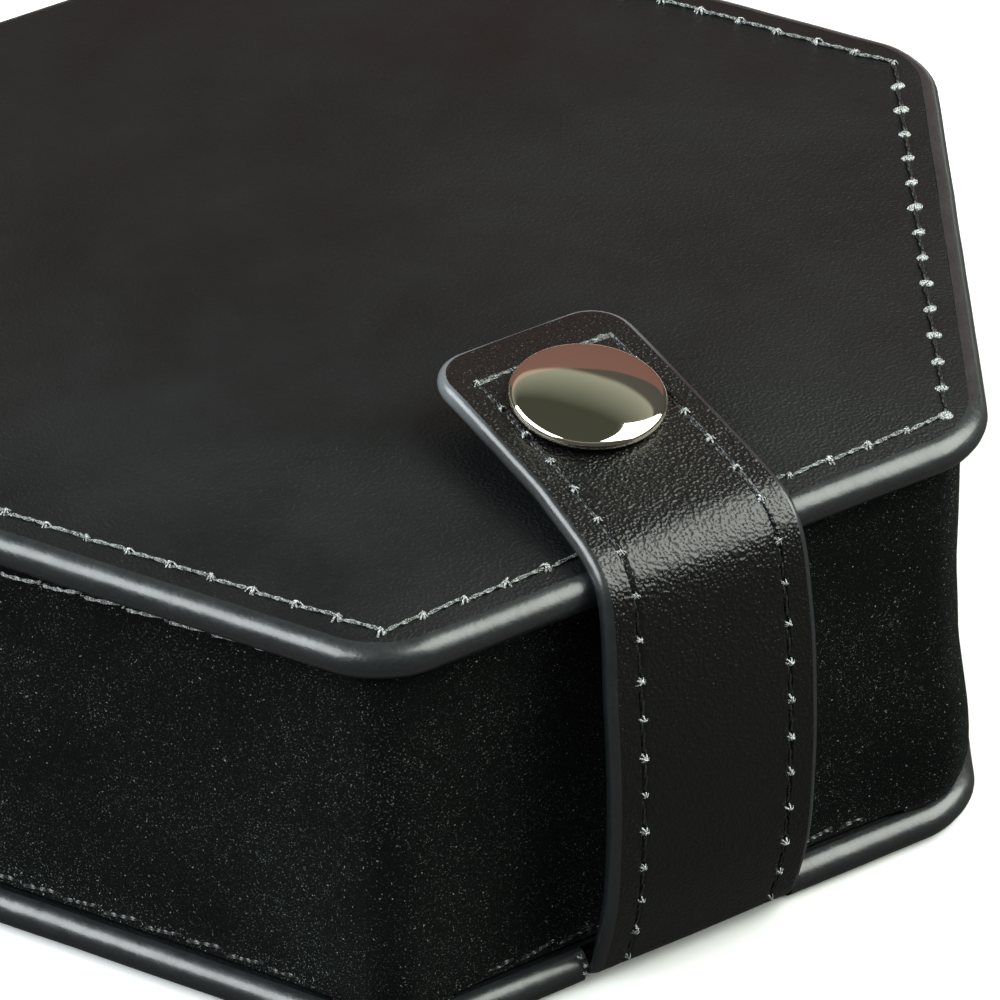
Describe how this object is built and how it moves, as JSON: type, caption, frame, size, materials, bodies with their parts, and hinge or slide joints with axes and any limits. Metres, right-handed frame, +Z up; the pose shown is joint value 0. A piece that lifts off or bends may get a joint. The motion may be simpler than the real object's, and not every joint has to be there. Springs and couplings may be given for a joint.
{
  "type": "ring box",
  "caption": "Flat hexagonal ring box with stitched leather lid and base, velvet walls, a leather spine hinge and a strap that closes with a press stud.",
  "frame": {"origin": "centre of the flat underside", "axes": "+Z up, -Y towards the strap, +Y towards the spine hinge, +X to the right seen from the strap"},
  "size_m": [0.11, 0.1025, 0.0464],
  "materials": {
    "plate_leather": "black satin leather with a very fine grain",
    "strap_leather": "black pebbled leather, semi-gloss",
    "edge_paint": "black edge paint, smooth and semi-gloss",
    "thread": "black waxed polyester thread",
    "greyboard": "grey bookbinder's board",
    "wall_velvet": "black short-pile velvet",
    "lining_velvet": "black short-pile velvet",
    "nickel_cap": "polished nickel plate",
    "nickel_snap": "bright nickel plate"
  },
  "bodies": {
    "base": {"base_leather": "plate_leather", "base_board": "greyboard", "base_inner_leather": "plate_leather", "base_edge_coat": "edge_paint", "base_stitching": "thread", "wall_core": "greyboard", "wall_velvet": "wall_velvet", "wall_lining": "lining_velvet", "wall_rim_stitching": "thread", "floor_lining": "lining_velvet", "insert_board": "lining_velvet", "ring_roll_1": "lining_velvet", "ring_roll_2": "lining_velvet", "ring_roll_3": "lining_velvet", "ring_roll_4": "lining_velvet", "ring_roll_5": "lining_velvet", "ring_roll_6": "lining_velvet", "strap_tail": "strap_leather", "strap_tail_stitching": "thread", "spine_board": "greyboard", "spine_leather": "plate_leather", "spine_stitching": "thread"},
    "lid": {"lid_leather": "plate_leather", "lid_board": "greyboard", "lid_inner_leather": "plate_leather", "lid_edge_coat": "edge_paint", "lid_stitching": "thread", "lid_pad": "lining_velvet", "snap_stud": "nickel_snap", "snap_stud_rivet": "nickel_snap"},
    "strap_front": {"strap_front_leather": "strap_leather", "strap_front_lining": "strap_leather", "strap_front_edge_coat": "edge_paint", "strap_front_stitching": "thread"},
    "strap_tip": {"strap_tip_leather": "strap_leather", "strap_tip_lining": "strap_leather", "strap_tip_edge_coat": "edge_paint", "strap_tip_stitching": "thread", "snap_cap": "nickel_cap", "snap_socket": "nickel_snap", "snap_spring": "nickel_snap"}
  },
  "joints": [
    {"name": "lid_hinge", "type": "hinge", "parent": "base", "child": "lid", "pos_m": [0, 0.049, 0.037], "axis": [-1, 0, 0], "range_deg": [0, 120]},
    {"name": "strap_swing", "type": "hinge", "parent": "base", "child": "strap_front", "pos_m": [-0.0003, -0.0496, 0.00075], "axis": [1, 0, 0], "range_deg": [0, 78]},
    {"name": "strap_bend", "type": "hinge", "parent": "strap_front", "child": "strap_tip", "pos_m": [-0.0003, -0.0504, 0.0396], "axis": [1, 0, 0], "range_deg": [0, 90]}
  ]
}
